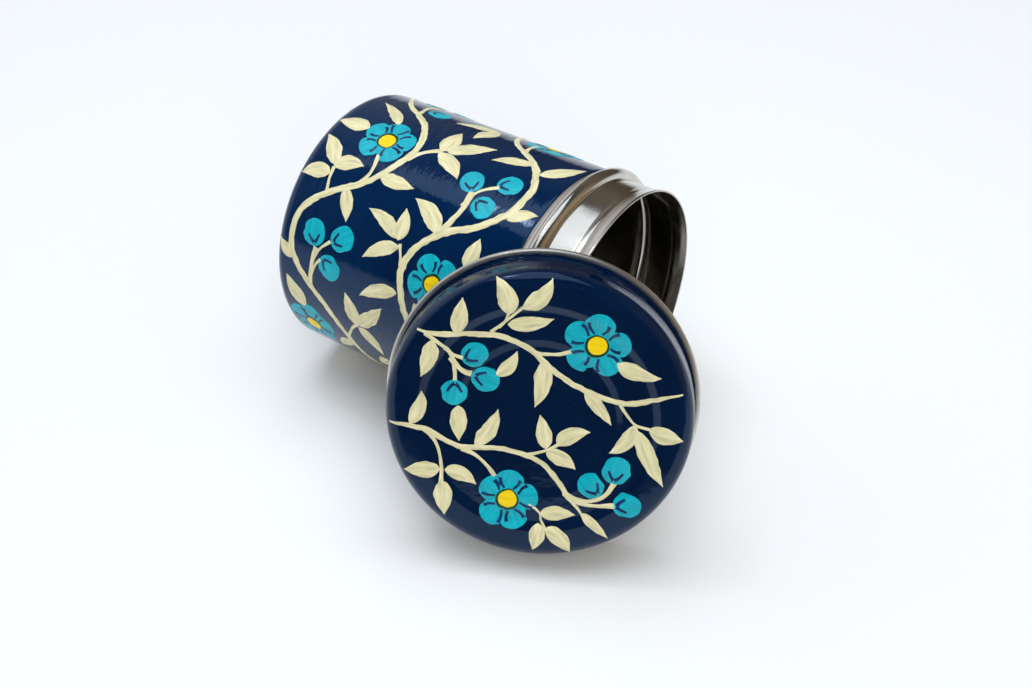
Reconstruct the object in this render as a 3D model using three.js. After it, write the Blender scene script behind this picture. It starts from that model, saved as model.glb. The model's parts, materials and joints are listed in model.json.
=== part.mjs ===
// A small drawn-steel spice tin with an enamelled outside, lying on its side.
// Its push-on lid is off, and stands on its hem, leaning back on the neck.
// Millimetres, +Z up, with z = 0 on the surface that the tin lies on.
// Each body is a turned shape: a profile of (radius, height) points spun about its own axis.
import * as THREE from 'three';

// Sheet and coat
const SHEET = 0.5; // thickness of the steel
const COAT = 0.25; // thickness of the enamel
const COAT_GAP = 0.02; // modelled space between the steel and its coat

// Can
const WALL_RADIUS = 38; // outside of the enamelled wall
const WALL_LENGTH = 73.9; // base to the enamel's edge
const BASE_CORNER = 3.8; // radius of the rounded base corner
const SHOULDER_RUN = 1.5; // bare steel from the enamel's edge to the bead
const BEAD_TUBE = 2.2; // radius of the rolled-out shoulder bead
const BEAD_RISE = 1.65; // how far the bead stands out of the wall
const NECK_INSET = 0.75; // how far the straight neck is set in from the wall
const NECK_LENGTH = 11.7; // bead to mouth
const LIP_FLARE = 0.75; // how far the mouth flares out of the neck
const LIP_LENGTH = 2.4; // length of the flare
const LIP_EDGE = 0.5; // straight edge at the mouth

// Lid
const LID_FIT = 0.1; // clearance between the lip and the lid's skirt
const LID_DEPTH = 14.6; // hem's middle to the crest of the outer ring
const LID_SHOULDER = 3.9; // radius of the rounded shoulder
const HEM_TUBE = 1.1; // radius of the rolled hem
const HEM_OUT = 1.75; // how far the hem stands out of the enamelled skirt
const COAT_EDGE_GAP = 0.11; // modelled space between the enamel's edge and the hem
const RING_WIDTH = 4.4; // flat crest of the raised outer ring
const RING_STEP = 1.1; // drop from the outer ring to the field inside it
const PANEL_RADIUS = 19.5; // flat round panel in the middle
const PANEL_STEP = 0.6; // drop from the field to the panel
const STEP_RUN = 1.8; // width of each sloping step

// Where the lid leans
const LID_FACING = THREE.MathUtils.degToRad(28.2); // turn of the lid's face about Z, from -Y toward +X
const LID_LEAN = THREE.MathUtils.degToRad(20.5); // lid's face above the horizontal
const LID_BEHIND_MOUTH = 1.8; // lid's middle back from the mouth, along the can
const LEAN_GAP = 0.3; // space left where the hem leans on the mouth

// Fineness
const SEGMENTS = 48; // facets round each turned shape, a multiple of 4
const ARC_STEPS = 5; // facets along each rounded corner
const TUBE_STEPS = 8; // facets along the bead and the hem

const point = (radius, height) => new THREE.Vector2(radius, height);

// Points on an arc from one angle to another, with angle 0 pointing away from the axis.
function arc(centre, radius, from, to, steps) {
  return Array.from({ length: steps + 1 }, (_, i) => {
    const angle = THREE.MathUtils.degToRad(from + ((to - from) * i) / steps);
    return point(centre.x + radius * Math.cos(angle), centre.y + radius * Math.sin(angle));
  });
}

// The same outline moved sideways by a distance, to the left of its direction, with mitred corners.
function offset(outline, distance) {
  const sides = outline.slice(1).map((end, i) => {
    const run = end.clone().sub(outline[i]).normalize();
    return point(-run.y, run.x);
  });
  return outline.map((corner, i) => {
    const before = sides[Math.max(i - 1, 0)];
    const after = sides[Math.min(i, sides.length - 1)];
    const mitre = before.clone().add(after);
    return corner.clone().add(mitre.multiplyScalar((2 * distance) / mitre.lengthSq()));
  });
}

// A closed skin between an outline and the same outline moved inward.
function skin(outline, thickness) {
  return [...outline, ...offset(outline, thickness).reverse()];
}

function turned(name, profile, look) {
  const mesh = new THREE.Mesh(
    new THREE.LatheGeometry(profile, SEGMENTS),
    new THREE.MeshStandardMaterial(look),
  );
  mesh.name = name;
  return mesh;
}

const ENAMEL_LOOK = { color: 0x0b1a3f, roughness: 0.12, metalness: 0 };
const STEEL_LOOK = { color: 0xc9c6c0, roughness: 0.16, metalness: 1 };

// ---- Can: base at height 0, mouth upward ----

const BEAD_RADIUS = WALL_RADIUS + BEAD_RISE; // outermost radius of the bead
const BEAD_START = WALL_LENGTH + SHOULDER_RUN;
const STEEL_RADIUS = WALL_RADIUS - COAT - COAT_GAP;
const NECK_RADIUS = WALL_RADIUS - NECK_INSET;
const LIP_RADIUS = NECK_RADIUS + LIP_FLARE;
const BEAD_CENTRE = point(BEAD_RADIUS - BEAD_TUBE, BEAD_START + BEAD_TUBE);
const NECK_START = BEAD_CENTRE.y + BEAD_TUBE;
const CAN_LENGTH = NECK_START + NECK_LENGTH;

// Outside of the can's lower body, on the axis at one end and at a given height at the other.
function bodyOutline(inset, height) {
  const corner = point(WALL_RADIUS - BASE_CORNER, BASE_CORNER);
  return [
    point(0, inset),
    ...arc(corner, BASE_CORNER - inset, -90, 0, ARC_STEPS),
    point(WALL_RADIUS - inset, height),
  ];
}

// Angle round the bead's middle at which its arc meets a given radius.
function beadAngle(radius) {
  return THREE.MathUtils.radToDeg(Math.acos((radius - BEAD_CENTRE.x) / BEAD_TUBE));
}

// Outside of the steel from the base to the mouth.
function canOutline() {
  return [
    ...bodyOutline(COAT + COAT_GAP, WALL_LENGTH),
    ...arc(BEAD_CENTRE, BEAD_TUBE, -beadAngle(STEEL_RADIUS), beadAngle(NECK_RADIUS), TUBE_STEPS),
    point(NECK_RADIUS, CAN_LENGTH - LIP_LENGTH),
    point(LIP_RADIUS, CAN_LENGTH - LIP_EDGE),
    point(LIP_RADIUS, CAN_LENGTH),
  ];
}

const canShell = turned('can_shell', skin(canOutline(), SHEET), STEEL_LOOK);
const canEnamel = turned('can_enamel', skin(bodyOutline(0, WALL_LENGTH), COAT), ENAMEL_LOOK);

// ---- Lid: hem's middle at height 0, top upward ----

const SKIRT_INSIDE = LIP_RADIUS + LID_FIT;
const SKIRT_RADIUS = SKIRT_INSIDE + SHEET + COAT_GAP + COAT; // outside of the enamelled skirt
const HEM_CENTRE_RADIUS = SKIRT_RADIUS + HEM_OUT - HEM_TUBE;
const COAT_STOP = Math.sqrt(HEM_TUBE ** 2 - (HEM_OUT - HEM_TUBE) ** 2) + COAT_EDGE_GAP;

// Outside of the enamelled lid from the axis to the foot of the skirt.
function lidOutline() {
  const ringInside = SKIRT_RADIUS - LID_SHOULDER - RING_WIDTH;
  const field = LID_DEPTH - RING_STEP;
  const panel = field - PANEL_STEP;
  const shoulder = point(SKIRT_RADIUS - LID_SHOULDER, LID_DEPTH - LID_SHOULDER);
  return [
    point(0, panel),
    point(PANEL_RADIUS, panel),
    point(PANEL_RADIUS + STEP_RUN, field),
    point(ringInside - STEP_RUN, field),
    point(ringInside, LID_DEPTH),
    ...arc(shoulder, LID_SHOULDER, 90, 0, ARC_STEPS),
    point(SKIRT_RADIUS, COAT_STOP),
  ];
}

// Steel of the lid: a skin under the enamel whose foot rolls outward into the hem.
function lidProfile() {
  const outside = offset(lidOutline(), -COAT - COAT_GAP);
  const inside = offset(lidOutline(), -COAT - COAT_GAP - SHEET);
  const steelRadius = outside.at(-1).x;
  const root = THREE.MathUtils.radToDeg(Math.acos((steelRadius - HEM_CENTRE_RADIUS) / HEM_TUBE));
  const hemCentre = point(HEM_CENTRE_RADIUS, 0);
  const bend = arc(point(0, 0), HEM_TUBE, -90, -180, ARC_STEPS).map(({ x, y }) =>
    point(HEM_CENTRE_RADIUS + (x / HEM_TUBE) * (HEM_CENTRE_RADIUS - SKIRT_INSIDE), y),
  );
  return [
    ...outside.slice(0, -1),
    ...arc(hemCentre, HEM_TUBE, root, -90, TUBE_STEPS),
    ...bend.slice(1),
    ...inside.slice(0, -1).reverse(),
  ];
}

const lidShell = turned('lid_shell', lidProfile().reverse(), STEEL_LOOK);
const lidEnamel = turned('lid_enamel', skin(lidOutline(), -COAT).reverse(), ENAMEL_LOOK);

// ---- The can lies on its base corner and its bead ----

// The line that rests is the common tangent of the corner's arc and the bead's arc.
const cornerCentre = point(WALL_RADIUS - BASE_CORNER, BASE_CORNER);
const centreRun = BEAD_CENTRE.clone().sub(cornerCentre);
const canTilt =
  Math.atan2(centreRun.x, centreRun.y) + Math.asin((BEAD_TUBE - BASE_CORNER) / centreRun.length());
const baseHeight =
  BASE_CORNER + cornerCentre.x * Math.cos(canTilt) - cornerCentre.y * Math.sin(canTilt);

const can = new THREE.Group();
can.rotation.set(0, -canTilt, -Math.PI / 2);
can.position.set(0, 0, baseHeight);
can.add(canShell, canEnamel);

// ---- The lid stands on its hem and leans on the mouth ----

const hemHeight = HEM_CENTRE_RADIUS * Math.cos(LID_LEAN) + HEM_TUBE;
const canAxis = new THREE.Vector3(Math.cos(canTilt), 0, Math.sin(canTilt));
const canBase = new THREE.Vector3(0, 0, baseHeight);
const lidTurn = new THREE.Quaternion().setFromEuler(
  new THREE.Euler(LID_LEAN, 0, LID_FACING + Math.PI, 'ZXY'),
);

// Distance from a point in the can's own half-plane to the steel's outline there.
function distanceToOutline(place, outline) {
  const nearest = outline.slice(1).map((end, i) => {
    const start = outline[i];
    const run = end.clone().sub(start);
    const share = place.clone().sub(start).dot(run) / run.lengthSq();
    const foot = start.clone().addScaledVector(run, THREE.MathUtils.clamp(share, 0, 1));
    return foot.distanceTo(place);
  });
  return Math.min(...nearest);
}

// Space between the hem and the can when the lid's middle is at a given place.
function leanSpace(middle) {
  const outline = canOutline();
  const spaces = Array.from({ length: SEGMENTS * ARC_STEPS }, (_, i) => {
    const angle = (2 * Math.PI * i) / (SEGMENTS * ARC_STEPS);
    const rim = new THREE.Vector3(Math.sin(angle), 0, Math.cos(angle));
    const place = rim.multiplyScalar(HEM_CENTRE_RADIUS).applyQuaternion(lidTurn).add(middle);
    const fromBase = place.sub(canBase);
    const height = fromBase.dot(canAxis);
    const radius = fromBase.addScaledVector(canAxis, -height).length();
    return distanceToOutline(point(radius, height), outline);
  });
  return Math.min(...spaces) - HEM_TUBE;
}

// Bring the lid in from clear of the can until only the lean gap is left.
const SEARCH_STEPS = 40; // halvings of the search
const lidMiddle = new THREE.Vector3(CAN_LENGTH * Math.cos(canTilt) - LID_BEHIND_MOUTH, 0, hemHeight);
let clear = -2 * WALL_RADIUS; // the lid stands well away from the can
let touching = -WALL_RADIUS / 2; // the lid's hem would pass through the neck
for (let i = 0; i < SEARCH_STEPS; i += 1) {
  lidMiddle.y = (clear + touching) / 2;
  if (leanSpace(lidMiddle) > LEAN_GAP) clear = lidMiddle.y;
  else touching = lidMiddle.y;
}

const lid = new THREE.Group();
lid.quaternion.copy(lidTurn);
lid.position.copy(lidMiddle);
lid.add(lidShell, lidEnamel);

// ---- Whole tin, with its origin under the middle of its box ----

const tin = new THREE.Group();
tin.add(can, lid);
const box = new THREE.Box3().setFromObject(tin, true);
const centre = box.getCenter(new THREE.Vector3());
tin.position.set(-centre.x, -centre.y, -box.min.z);

export default tin;
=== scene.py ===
# %% [markdown]
# # A hand-painted enamel spice tin
#
# A small drawn-steel canister lies on its side with its push-on lid leaning on the open mouth.
# Both are enamelled navy blue outside, bare steel where they fit together, and painted by hand
# with cream vines, turquoise flowers and berries. The measured model comes first and stays
# fixed. Everything made here sits around it, in metres, in the same frame.

# %% Load the measured model
import json
import math
import random

import bmesh
import bpy
import numpy as np
from mathutils import Matrix, Vector, noise
from mathutils.geometry import delaunay_2d_cdt


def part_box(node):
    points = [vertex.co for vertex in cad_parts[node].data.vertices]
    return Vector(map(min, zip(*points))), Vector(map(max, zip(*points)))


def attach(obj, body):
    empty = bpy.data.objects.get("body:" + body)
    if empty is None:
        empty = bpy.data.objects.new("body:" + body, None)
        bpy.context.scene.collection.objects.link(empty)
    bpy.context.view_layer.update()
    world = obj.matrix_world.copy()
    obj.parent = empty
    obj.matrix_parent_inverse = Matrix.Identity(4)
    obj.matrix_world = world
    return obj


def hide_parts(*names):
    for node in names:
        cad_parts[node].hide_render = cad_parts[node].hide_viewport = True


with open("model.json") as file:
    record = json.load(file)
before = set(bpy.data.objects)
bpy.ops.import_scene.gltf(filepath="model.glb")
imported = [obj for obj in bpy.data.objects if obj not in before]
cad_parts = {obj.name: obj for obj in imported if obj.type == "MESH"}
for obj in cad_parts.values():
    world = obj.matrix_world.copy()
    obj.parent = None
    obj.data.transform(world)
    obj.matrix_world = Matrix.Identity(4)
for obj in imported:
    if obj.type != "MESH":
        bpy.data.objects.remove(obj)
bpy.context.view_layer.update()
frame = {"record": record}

MM = 0.001

# %% [markdown]
# ## The camera
#
# A camera is set by where it aims, how far away it stands, and its direction in degrees. A
# position worked out from those four numbers is easier to adjust than three coordinates. The
# lens is slightly long, so that the round parts keep their proportions. The view leans by
# less than a degree, so the camera is also turned a little about its own line of sight.

# %% Aim the camera
AIM = Vector((-16.1, 28.0, 0)) * MM
AZIMUTH = math.radians(33.8)
ELEVATION = math.radians(41.66)
DISTANCE = 422 * MM
LEAN = math.radians(0.905)
LENS = 47.09

back = Vector((
    math.sin(AZIMUTH) * math.cos(ELEVATION),
    -math.cos(AZIMUTH) * math.cos(ELEVATION),
    math.sin(ELEVATION),
))
camera = bpy.data.objects.new("camera", bpy.data.cameras.new("camera"))
bpy.context.collection.objects.link(camera)
turn = back.to_track_quat("Z", "Y").to_matrix() @ Matrix.Rotation(LEAN, 3, "Z")
camera.matrix_world = Matrix.Translation(AIM + back * DISTANCE) @ turn.to_4x4()
camera.data.lens = LENS
camera.data.clip_start = 0.01
bpy.context.scene.camera = camera
print("camera stands at", [round(c / MM) for c in camera.location], "mm")

# %% [markdown]
# ## Floor and light
#
# Glossy enamel and polished steel show the room more than they show themselves, so the light is
# set before any material. The floor is a wide white cloth, and its reflection turns the lower
# half of the can slate grey. The room beyond is dim and warm, which keeps the enamel deep blue
# and puts brown into the steel. One large soft lamp hangs overhead, and draws the pale band
# along the top of the can. A small one beside it, like a skylight, puts brighter dabs into that
# band. Two more lamps only fill the shadows: they are left out of reflections, as a photographer
# screens a lamp from shiny goods. The far wall is brighter than
# the side where the camera stands, the wall on the left is white and the one on the right is
# warm, and each gives the steel its own stripe.

# %% Colours from hex values
def linear(hex_colour):
    """An sRGB colour such as "#0B1A3F" as the linear RGBA that Blender's sockets take."""
    parts = [int(hex_colour[i : i + 2], 16) / 255 for i in (1, 3, 5)]
    return (*[p / 12.92 if p <= 0.04045 else ((p + 0.055) / 1.055) ** 2.4 for p in parts], 1)


def add(tree, kind, inputs=None, **settings):
    """Add one node. Inputs are values, or output sockets to link, by socket name or number."""
    made = tree.nodes.new("ShaderNode" + kind)
    for name, value in settings.items():
        setattr(made, name, value)
    for name, value in (inputs or {}).items():
        if isinstance(value, bpy.types.NodeSocket):
            tree.links.new(value, made.inputs[name])
        else:
            made.inputs[name].default_value = value
    return made


# %% The dim warm room
ROOM_LOW = "#463C33"
ROOM_MIDDLE = "#746B5C"
ROOM_HIGH = "#3C4350"
ROOM_LEFT = "#EDEFF2"
ROOM_RIGHT = "#AA977C"

world = bpy.data.worlds.new("room")
bpy.context.scene.world = world
world.use_nodes = True
room = world.node_tree
room.nodes.clear()
direction = add(room, "TexCoord").outputs["Generated"]
ways = add(room, "SeparateXYZ", {0: direction})
height = ways.outputs["Z"]
lower = add(room, "MapRange", {"Value": height, "From Min": 0.0, "From Max": 0.55})
upper = add(room, "MapRange", {"Value": height, "From Min": 0.5, "From Max": 0.95})
walls = add(
    room, "Mix", {0: lower.outputs[0], 6: linear(ROOM_LOW), 7: linear(ROOM_MIDDLE)}, data_type="RGBA"
)
ceiling = add(
    room, "Mix", {0: upper.outputs[0], 6: walls.outputs[2], 7: linear(ROOM_HIGH)}, data_type="RGBA"
)
left = add(room, "MapRange", {"Value": ways.outputs["X"], "From Min": -0.5, "From Max": -0.8})
right = add(room, "MapRange", {"Value": ways.outputs["X"], "From Min": 0.4, "From Max": 0.75})
pale_left = add(
    room, "Mix", {0: left.outputs[0], 6: ceiling.outputs[2], 7: linear(ROOM_LEFT)}, data_type="RGBA"
)
warm_right = add(
    room, "Mix", {0: right.outputs[0], 6: pale_left.outputs[2], 7: linear(ROOM_RIGHT)}, data_type="RGBA"
)
far_side = add(
    room, "MapRange", {"Value": ways.outputs["Y"], "From Min": -0.3, "From Max": 0.25, "To Min": 0.35}
)
bright = add(room, "Math", {0: far_side.outputs[0], 1: left.outputs[0]}, operation="MAXIMUM").outputs[0]
glow = add(room, "Background", {"Color": warm_right.outputs[2], "Strength": bright})
add(room, "OutputWorld", {"Surface": glow.outputs[0]})
bpy.context.scene.view_settings.view_transform = "Standard"
print("room lit from", ROOM_LOW, "at the horizon to", ROOM_HIGH, "overhead")

# %% Lamps
def lamp(name, place, aim, size, watts, mirrored, tint):
    """A square soft lamp. Mirrored says whether shiny surfaces show it."""
    made = bpy.data.objects.new(name, bpy.data.lights.new(name, "AREA"))
    bpy.context.collection.objects.link(made)
    made.data.shape = "SQUARE"
    made.data.size = size
    made.data.energy = watts
    made.data.color = linear(tint)[:3]
    made.location = place
    made.rotation_euler = (Vector(aim) - Vector(place)).to_track_quat("-Z", "Y").to_euler()
    made.visible_glossy = mirrored
    made.visible_camera = False
    return made


lamp(
    "overhead", place=(-0.2, 0.12, 1.2), aim=(0, 0, 0.03),
    size=0.95, watts=4.0, mirrored=True, tint="#EDF6FF",
)
lamp(
    "skylight", place=(-0.43, 0.02, 1.0), aim=(0, 0, 0.06),
    size=0.11, watts=0.55, mirrored=True, tint="#F4F8FF",
)
lamp(
    "fill_above", place=(0.0, 0.15, 1.8), aim=(0, 0.1, 0),
    size=1.9, watts=24, mirrored=False, tint="#FBFDFF",
)
lamp(
    "fill_front", place=(0.7, -0.9, 0.9), aim=(0, 0, 0.03),
    size=1.0, watts=9.5, mirrored=False, tint="#FFFDF8",
)

# %% The white cloth that the tin lies on
FLOOR_REACH = 4.0
cloth = bpy.data.meshes.new("floor")
cloth.from_pydata(
    [(x * FLOOR_REACH, y * FLOOR_REACH, 0) for x, y in ((-1, -1), (1, -1), (1, 1), (-1, 1))],
    [],
    [(0, 1, 2, 3)],
)
floor = bpy.data.objects.new("floor", cloth)
bpy.context.collection.objects.link(floor)

# %% [markdown]
# ### Who the lid reflects
#
# The lid's face is turned towards the camera, so it mirrors whoever stands there. An upright
# card just behind the camera stands in for that person's dark clothes. Dark colour in the world
# could do the same, but a card has a place and a size. Only shiny surfaces see it: it is hidden
# from the camera, from diffuse light and from shadows.

# %% A card for the dark clothes
STANDS = 0.3
SHOULDERS = 0.3
TALL = 0.5
facing = Vector((math.sin(AZIMUTH), -math.cos(AZIMUTH), 0))
beside = Vector((facing.y, -facing.x, 0))
clothes = bpy.data.meshes.new("dark_clothes")
card_corners = [(-1, 0), (1, 0), (1, TALL), (-1, TALL)]
clothes.from_pydata(
    [facing * STANDS + beside * (SHOULDERS * x) + Vector((0, 0, h)) for x, h in card_corners],
    [],
    [(0, 1, 2, 3)],
)
person = bpy.data.objects.new("dark_clothes", clothes)
bpy.context.collection.objects.link(person)
person.visible_camera = person.visible_diffuse = person.visible_shadow = False

# %% [markdown]
# ## Where the can and the lid are
#
# Both are turned shapes: a profile spun about an axis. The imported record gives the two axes. A
# node's box then gives the place along and across them, because a turned shape reaches as far
# on each side of its axis as its profile says. Each body gets one matrix, so every piece on it
# can be built upright in its own frame, with height 0 at the can's base or at the lid's hem.

# %% Profiles in millimetres, as (radius, height)
WALL_RADIUS = 38.0
WALL_LENGTH = 73.9
BASE_CORNER = 3.8
SKIRT_RADIUS = 38.87
LID_DEPTH = 14.6
LID_SHOULDER = 3.9
COAT_STOP = 1.0


def arc(centre, radius, start, end, steps):
    """Points on an arc, with angle 0 pointing away from the axis."""
    angles = [math.radians(start + (end - start) * i / steps) for i in range(steps + 1)]
    return [(centre[0] + radius * math.cos(a), centre[1] + radius * math.sin(a)) for a in angles]


can_reach = [
    *arc((WALL_RADIUS - BASE_CORNER, BASE_CORNER), BASE_CORNER, -90, 0, 12),
    (WALL_RADIUS, WALL_LENGTH),
]
lid_reach = [
    *arc((SKIRT_RADIUS - LID_SHOULDER, LID_DEPTH - LID_SHOULDER), LID_SHOULDER, 90, 0, 12),
    (SKIRT_RADIUS, COAT_STOP),
]


# %% One matrix for each body
def middle_of(node, axis, profile):
    """Where a turned node's height 0 is on its axis, from its box."""
    low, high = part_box(node)
    middle = Vector()
    for side in range(3):
        along = axis[side]
        across = math.sqrt(1 - along**2)
        far = max(h * along + r * across for r, h in profile) * MM
        near = min(h * along - r * across for r, h in profile) * MM
        middle[side] = (low[side] + high[side] - far - near) / 2
    return middle


def standing(middle, axis):
    """The matrix of a body whose Z is its axis and whose Y points as nearly up as it can."""
    up = (Vector((0, 0, 1)) - axis * axis.z).normalized()
    right = up.cross(axis)
    return Matrix.Translation(middle) @ Matrix((right, up, axis)).transposed().to_4x4()


can_axis = -Vector(frame["record"]["mounts"][0]["axis"])
lid_axis = Vector(frame["record"]["behaviour"]["joints"][0]["axis"])
CAN = standing(middle_of("can_enamel", can_axis, can_reach), can_axis)
LID = standing(middle_of("lid_enamel", lid_axis, lid_reach), lid_axis)
for name, place in (("can base", CAN), ("lid hem", LID)):
    print(name, "middle at", [round(c / MM, 2) for c in place.translation], "mm")

# %% [markdown]
# ## Turned metal
#
# Blender can spin a curve with its Screw modifier, but a bent, rolled and flared sheet has both
# very tight and very long stretches. Building the rings in code puts fine steps only where the
# sheet bends. Each piece is one closed skin: its outside runs out from the axis, round the edge,
# and back inside to the axis again.

# %% Turn points and faces into a piece
SHARP = math.radians(40)


def finished(name, points, faces, place):
    """A smooth piece from points in its body's own millimetres, which it keeps as "own"."""
    mesh = bpy.data.meshes.new(name)
    mesh.from_pydata([place @ (Vector(p) * MM) for p in points], [], faces)
    solid = bmesh.new()
    solid.from_mesh(mesh)
    bmesh.ops.recalc_face_normals(solid, faces=solid.faces)
    solid.to_mesh(mesh)
    solid.free()
    own = mesh.attributes.new("own", "FLOAT_VECTOR", "POINT")
    own.data.foreach_set("vector", np.array(points, np.float32).ravel())
    mesh.shade_smooth()
    mesh.set_sharp_from_angle(angle=SHARP)
    piece = bpy.data.objects.new(name, mesh)
    bpy.context.collection.objects.link(piece)
    print(name, len(mesh.polygons), "faces")
    return piece


# %% Build a turned skin
ROUND = 288
ON_AXIS = 1e-6


def turned(name, outline, place, ragged=None):
    """A closed skin from an outline of (radius, height) in mm that starts and ends on the axis."""
    points, faces, rings = [], [], []
    for order, (radius, level) in enumerate(outline):
        if radius < ON_AXIS:
            rings.append([len(points)])
            points.append((0, 0, level))
            continue
        rings.append(range(len(points), len(points) + ROUND))
        for i in range(ROUND):
            angle = 2 * math.pi * i / ROUND
            r, h = ragged(order, angle, radius, level) if ragged else (radius, level)
            points.append((r * math.cos(angle), r * math.sin(angle), h))
    for below, above in zip(rings, rings[1:]):
        for i in range(ROUND):
            j = (i + 1) % ROUND
            if len(below) == 1:
                faces.append((below[0], above[j], above[i]))
            elif len(above) == 1:
                faces.append((below[i], below[j], above[0]))
            else:
                faces.append((below[i], below[j], above[j], above[i]))
    return finished(name, points, faces, place)


# %% Round the corners of an outline and give it a thickness
def rounded(outline, radii, steps=6):
    """The outline with each corner replaced by an arc of the radius given for it, where it fits."""
    path = [Vector(p) for p in outline]
    made = [path[0]]
    for i in range(1, len(path) - 1):
        before, after = (path[i - 1] - path[i]), (path[i + 1] - path[i])
        opening = before.angle(after)
        radius = radii.get(i, 0)
        cut = radius / math.tan(opening / 2) if opening < math.pi - 0.01 else 0
        cut = min(cut, before.length * 0.49, after.length * 0.49)
        if cut < 1e-4:
            made.append(path[i])
            continue
        start, end = path[i] + before.normalized() * cut, path[i] + after.normalized() * cut
        for s in range(steps + 1):
            t = s / steps
            made.append(start * (1 - t) ** 2 + path[i] * 2 * t * (1 - t) + end * t**2)
    made.append(path[-1])
    return [(p.x, p.y) for p in made]


def moved_in(outline, distance):
    """The outline moved sideways, to the left of its direction, with mitred corners."""
    path = [Vector(p) for p in outline]
    sides = []
    for a, b in zip(path, path[1:]):
        run = (b - a).normalized()
        sides.append(Vector((-run.y, run.x)))
    made = []
    for i, p in enumerate(path):
        before, after = sides[max(i - 1, 0)], sides[min(i, len(sides) - 1)]
        mitre = before + after
        q = p + mitre * (2 * distance / mitre.length_squared)
        made.append((max(q.x, 0.0), q.y))
    if outline[0][0] < ON_AXIS:
        made[0] = (0.0, made[0][1])
    return made


# %% [markdown]
# ### The steel can
#
# The can is drawn from one sheet half a millimetre thick. Above the enamelled wall it rolls out
# into a round bead that stops the lid, turns in through a tight hollow, and runs straight up as
# the neck. Two fine turned lines lie under the mouth, which flares out a little and has a
# rounded cut edge. Most of the steel is hidden under the enamel, but it shows at the bead, on
# the neck, and all the way down inside.

# %% Make the steel can
SHEET = 0.5
COAT = 0.25
COAT_GAP = 0.02
STEEL_WALL = WALL_RADIUS - COAT - COAT_GAP
BEAD_TUBE = 2.2
BEAD_MIDDLE = (37.45, 77.6)
NECK_RADIUS = 37.25
MOUTH = 91.5
FLARE = 0.75
LINE_DEPTH = 0.04


def bead_angle(radius):
    return math.degrees(math.acos((radius - BEAD_MIDDLE[0]) / BEAD_TUBE))


can_outside = [
    (0, COAT + COAT_GAP),
    *arc((WALL_RADIUS - BASE_CORNER, BASE_CORNER), BASE_CORNER - COAT - COAT_GAP, -90, 0, 12),
    (STEEL_WALL, WALL_LENGTH - 0.5),
    (STEEL_WALL, WALL_LENGTH + 0.4),
    *arc(BEAD_MIDDLE, BEAD_TUBE, 10 - bead_angle(STEEL_WALL), bead_angle(NECK_RADIUS) - 8, 20),
    (NECK_RADIUS + 0.12, 79.95),
    (NECK_RADIUS, 80.5),
    (NECK_RADIUS, MOUTH - 5.1),
    (NECK_RADIUS - LINE_DEPTH, MOUTH - 4.85),
    (NECK_RADIUS + 0.02, MOUTH - 4.6),
    (NECK_RADIUS + 0.04, MOUTH - 3.5),
    (NECK_RADIUS - LINE_DEPTH + 0.06, MOUTH - 3.25),
    (NECK_RADIUS + 0.08, MOUTH - 3.0),
    (NECK_RADIUS + 0.16, MOUTH - 2.4),
    (NECK_RADIUS + 0.36, MOUTH - 1.5),
    (NECK_RADIUS + 0.62, MOUTH - 0.8),
    (NECK_RADIUS + FLARE, MOUTH - 0.25),
]
can_edge = arc((NECK_RADIUS + FLARE - 0.24, MOUTH - 0.25), 0.24, 25, 155, 5)
can_inside = moved_in(can_outside, SHEET)
can_outline = [*can_outside, *can_edge, *reversed(can_inside)]
can_steel = turned("can_steel", can_outline, CAN)
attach(can_steel, "can")
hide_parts("can_shell")

# %% [markdown]
# ### The enamel on the can
#
# Enamel is glass fused on the steel. It is a quarter of a millimetre thick, rounds off softly at
# the base corner, and was wiped back by hand at the shoulder, so its edge wanders by a few
# tenths of a millimetre. The edge is moved with a smooth noise that depends only on the angle,
# which joins up with itself after one turn.

# %% Make the can's enamel
def wander(angle, scale, seed):
    """Smooth noise from -1 to 1 round a full turn."""
    return noise.noise(Vector((math.cos(angle) * scale, math.sin(angle) * scale, seed)))


coat_outside = [
    (0, 0),
    (20, 0),
    *arc((WALL_RADIUS - BASE_CORNER, BASE_CORNER), BASE_CORNER, -90, 0, 14),
    (WALL_RADIUS, 20),
    (WALL_RADIUS, 45),
    (WALL_RADIUS, WALL_LENGTH - 1.2),
    (WALL_RADIUS - 0.01, WALL_LENGTH - 0.5),
    (WALL_RADIUS - 0.06, WALL_LENGTH - 0.2),
    (WALL_RADIUS - 0.16, WALL_LENGTH - 0.03),
    (WALL_RADIUS - COAT + 0.01, WALL_LENGTH),
]
coat_inside = [
    (WALL_RADIUS - COAT, WALL_LENGTH - 0.9),
    (WALL_RADIUS - COAT, 45),
    *arc((WALL_RADIUS - BASE_CORNER, BASE_CORNER), BASE_CORNER - COAT, 0, -90, 8),
    (0, COAT),
]
EDGE_START = len(coat_outside) - 4


def wandering_edge(order, angle, radius, level):
    if EDGE_START <= order < len(coat_outside):
        level += 0.28 * wander(angle, 2.2, 5.0) + 0.12 * wander(angle, 11.0, 9.0)
    return radius, level


can_coat = turned("can_coat", [*coat_outside, *coat_inside], CAN, wandering_edge)
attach(can_coat, "can")
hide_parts("can_enamel")

# %% [markdown]
# ### The lid
#
# The lid is pressed from the same sheet: a flat panel, a low step, a field, a raised outer ring,
# a round shoulder and a short skirt whose foot rolls out into a hem. The enamel covers it down
# to the hem and laps onto the roll. It stops just short of the crest, where the brush left a
# ragged edge.

# %% Make the lid's steel and enamel
HEM_TUBE = 1.1
HEM_RADIUS = 39.52
RING_WIDTH = 4.4
RING_STEP = 1.1
PANEL_RADIUS = 19.5
PANEL_STEP = 0.6
STEP_RUN = 1.8
RIDGE = 0.14
FILM = 0.09

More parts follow.
